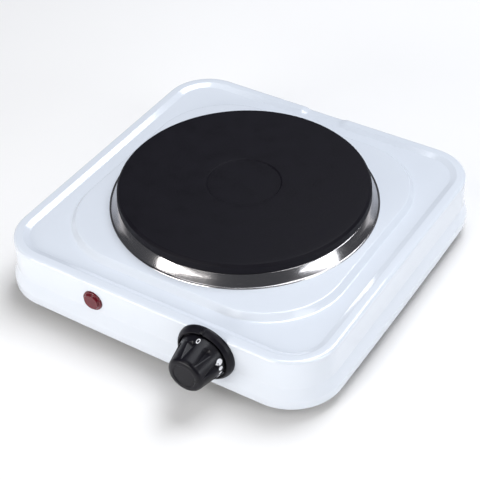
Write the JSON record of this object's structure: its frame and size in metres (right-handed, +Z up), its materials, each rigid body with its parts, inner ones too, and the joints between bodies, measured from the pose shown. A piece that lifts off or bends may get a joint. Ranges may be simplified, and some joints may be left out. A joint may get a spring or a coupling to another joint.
{
  "type": "hot plate burner",
  "caption": "Portable electric hot plate with a solid cast-iron plate, polished spill ring, white pressed-steel housing, turning heat control and red indicator lamp.",
  "frame": {"origin": "on the table, under the middle of the whole appliance with its knob; the plate axis stands 11.7 mm behind it", "axes": "+Z up, -Y the front with the knob and lamp, +X to the right seen from the front"},
  "size_m": [0.2682, 0.2916, 0.068],
  "materials": {
    "white_enamel": "gloss white stove enamel",
    "galvanised_steel": "zinc coated sheet, dull spangle",
    "black_rubber": "matt black rubber",
    "zinc_steel": "bright zinc plated",
    "cast_iron": "black heat-proof coating over turned iron",
    "resistance_wire": "oxidised nickel chrome",
    "magnesia": null,
    "steatite": null,
    "plain_brass": "plain brass",
    "stainless": "polished stainless steel",
    "bezel_plastic": "black moulded plastic, satin",
    "knob_plastic": "black moulded plastic, glossy",
    "spring_steel": "bright spring strip",
    "silver_contact": "silver",
    "bimetal": "bimetal strip",
    "red_lens": "clear red polycarbonate",
    "clear_glass": "clear glass with neon fill",
    "brown_sleeve": "silicone and glass sleeve, brown",
    "blue_sleeve": "silicone and glass sleeve, blue",
    "earth_sleeve": "silicone sleeve, green and yellow",
    "clear_sleeve": "silicone and glass sleeve, natural"
  },
  "bodies": {
    "housing": {"top_housing": "white_enamel", "base_plate": "galvanised_steel", "rubber_feet": "black_rubber", "base_screws": "zinc_steel", "corner_brackets": "galvanised_steel", "hot_plate": "cast_iron", "heating_coils": "resistance_wire", "ceramic_filler": "magnesia", "plate_cover": "galvanised_steel", "terminal_insulator": "steatite", "plate_terminals": "plain_brass", "spill_ring": "stainless", "centre_stud": "zinc_steel", "cover_nut": "zinc_steel", "mounting_crossbar": "galvanised_steel", "spring_washer": "zinc_steel", "mounting_nut": "zinc_steel", "knob_bezel": "bezel_plastic", "control_screws": "zinc_steel", "thermostat_bracket": "galvanised_steel", "thermostat_bush": "plain_brass", "insulator_discs": "steatite", "stack_rivet": "zinc_steel", "live_terminal": "plain_brass", "load_terminal": "plain_brass", "bimetal_root": "bimetal", "indicator_lens": "red_lens", "indicator_clip": "spring_steel", "indicator_cap": "bezel_plastic", "neon_lamp": "clear_glass", "cord_gland": "black_rubber", "terminal_block": "steatite", "terminal_inserts": "plain_brass", "terminal_screws": "zinc_steel", "block_screws": "zinc_steel", "earth_tag": "plain_brass", "earth_screw": "zinc_steel", "lead_receptacles": "plain_brass", "lead_live": "brown_sleeve", "lead_switched": "brown_sleeve", "lead_neutral": "blue_sleeve", "lead_earth": "earth_sleeve", "lamp_lead_switched": "clear_sleeve", "lamp_lead_neutral": "clear_sleeve"},
    "thrust_bead": {"push_bead": "steatite"},
    "knob": {"control_knob": "knob_plastic", "spindle": "zinc_steel", "knob_spring": "spring_steel"},
    "set_blade": {"set_arm": "spring_steel", "set_contact": "silver_contact"},
    "contact_blade": {"contact_arm": "spring_steel", "moving_contact": "silver_contact"},
    "bimetal": {"bimetal_strip": "bimetal", "bimetal_pin": "steatite"}
  },
  "joints": [
    {"name": "spindle_advance", "type": "slide", "parent": "housing", "child": "thrust_bead", "axis": [0, 1, 0], "range_m": [0, 0.0008066]},
    {"name": "knob_turn", "type": "hinge", "parent": "thrust_bead", "child": "knob", "pos_m": [0.0509, -0.1184, 0.0337], "axis": [0, 1, 0], "range_deg": [0, 290]},
    {"name": "set_blade_flex", "type": "hinge", "parent": "housing", "child": "set_blade", "pos_m": [0.0269, -0.10365, 0.0337], "axis": [0, 0, 1], "range_deg": [0, 1.97]},
    {"name": "contact_blade_flex", "type": "hinge", "parent": "housing", "child": "contact_blade", "pos_m": [0.0269, -0.0992, 0.0337], "axis": [0, 0, 1], "range_deg": [0, 1.48]},
    {"name": "bimetal_bend", "type": "hinge", "parent": "housing", "child": "bimetal", "pos_m": [0.0269, -0.1083, 0.0337], "axis": [0, 0, 1], "range_deg": [0, 1.1], "stiffness_Nm_per_rad": 0.05}
  ],
  "couplings": [
    {"joint": "spindle_advance", "follows": "knob_turn", "m_per_rad": 0.00015915},
    {"joint": "set_blade_flex", "follows": "knob_turn", "ratio": 0.0067961},
    {"joint": "contact_blade_flex", "follows": "knob_turn", "ratio": 0.0050975}
  ]
}
